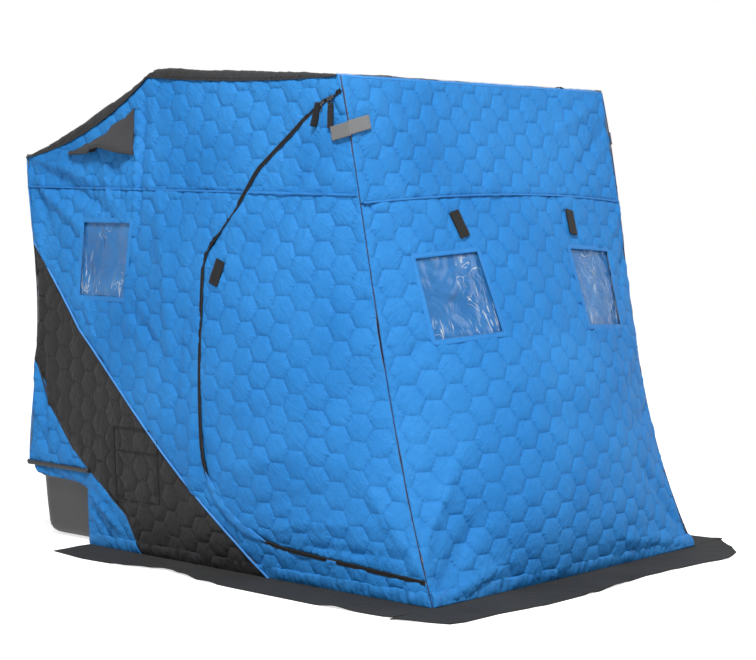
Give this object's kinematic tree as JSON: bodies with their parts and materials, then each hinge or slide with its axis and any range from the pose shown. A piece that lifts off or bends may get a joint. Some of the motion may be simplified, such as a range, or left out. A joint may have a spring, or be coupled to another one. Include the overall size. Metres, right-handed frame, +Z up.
{
  "type": "ice fishing hut",
  "caption": "Flip-over ice fishing hut: quilted blue and black tent on folding bows over a moulded sled, with side zip doors, film windows and a ground skirt.",
  "frame": {"origin": "centre of the footprint, on the ground", "axes": "+Z up, -Y towards the front wall, +Y towards the sled, +X to the right seen from the front"},
  "size_m": [1.85, 2.22, 1.715],
  "materials": {
    "blue_quilt": "quilted insulated woven fabric",
    "black_quilt": "quilted insulated woven fabric",
    "roof_cloth": "coated woven fabric",
    "skirt_cloth": "coated woven fabric",
    "edging": "matt",
    "sled_plastic": "moulded, lightly scratched",
    "tube": "satin",
    "plate": "powder coated",
    "window_film": "clear wrinkled film",
    "zip": "woven tape with moulded teeth",
    "hook_tape": "hook tape",
    "reflective": "reflective woven tape"
  },
  "bodies": {
    "hut": {"back_wall_band": "black_quilt", "back_wall_lower": "blue_quilt", "back_wall_upper": "blue_quilt", "corner_patches": "reflective", "front_bow": "tube", "front_left_window": "window_film", "front_right_window": "window_film", "front_skirt": "skirt_cloth", "front_tabs": "hook_tape", "front_wall_lower": "blue_quilt", "front_wall_upper": "blue_quilt", "left_bracket": "plate", "left_door_sill": "blue_quilt", "left_skirt": "skirt_cloth", "left_vent_hood": "roof_cloth", "left_wall_band": "black_quilt", "left_wall_corner": "blue_quilt", "left_wall_foot": "blue_quilt", "left_wall_main": "blue_quilt", "left_wall_upper": "blue_quilt", "left_wall_zip": "zip", "left_window": "window_film", "middle_bow": "tube", "rear_bow": "tube", "right_bracket": "plate", "right_door_sill": "blue_quilt", "right_skirt": "skirt_cloth", "right_vent_hood": "roof_cloth", "right_wall_band": "black_quilt", "right_wall_corner": "blue_quilt", "right_wall_foot": "blue_quilt", "right_wall_main": "blue_quilt", "right_wall_upper": "blue_quilt", "right_wall_zip": "zip", "right_window": "window_film", "roof_front_panel": "roof_cloth", "roof_rear_panel": "roof_cloth", "sled": "sled_plastic", "sled_hem": "edging"},
    "left_door": {"left_door": "blue_quilt", "left_door_zip": "zip", "left_door_tab": "hook_tape"},
    "right_door": {"right_door": "blue_quilt", "right_door_zip": "zip", "right_door_tab": "hook_tape"}
  },
  "joints": [
    {"name": "left_door_hinge", "type": "hinge", "parent": "hut", "child": "left_door", "pos_m": [-0.725, -0.91, 0], "axis": [0.0117, 0.2414, 0.9704], "range_deg": [0, 110]},
    {"name": "right_door_hinge", "type": "hinge", "parent": "hut", "child": "right_door", "pos_m": [0.725, -0.91, 0], "axis": [0.0117, -0.2414, -0.9704], "range_deg": [0, 110]}
  ]
}
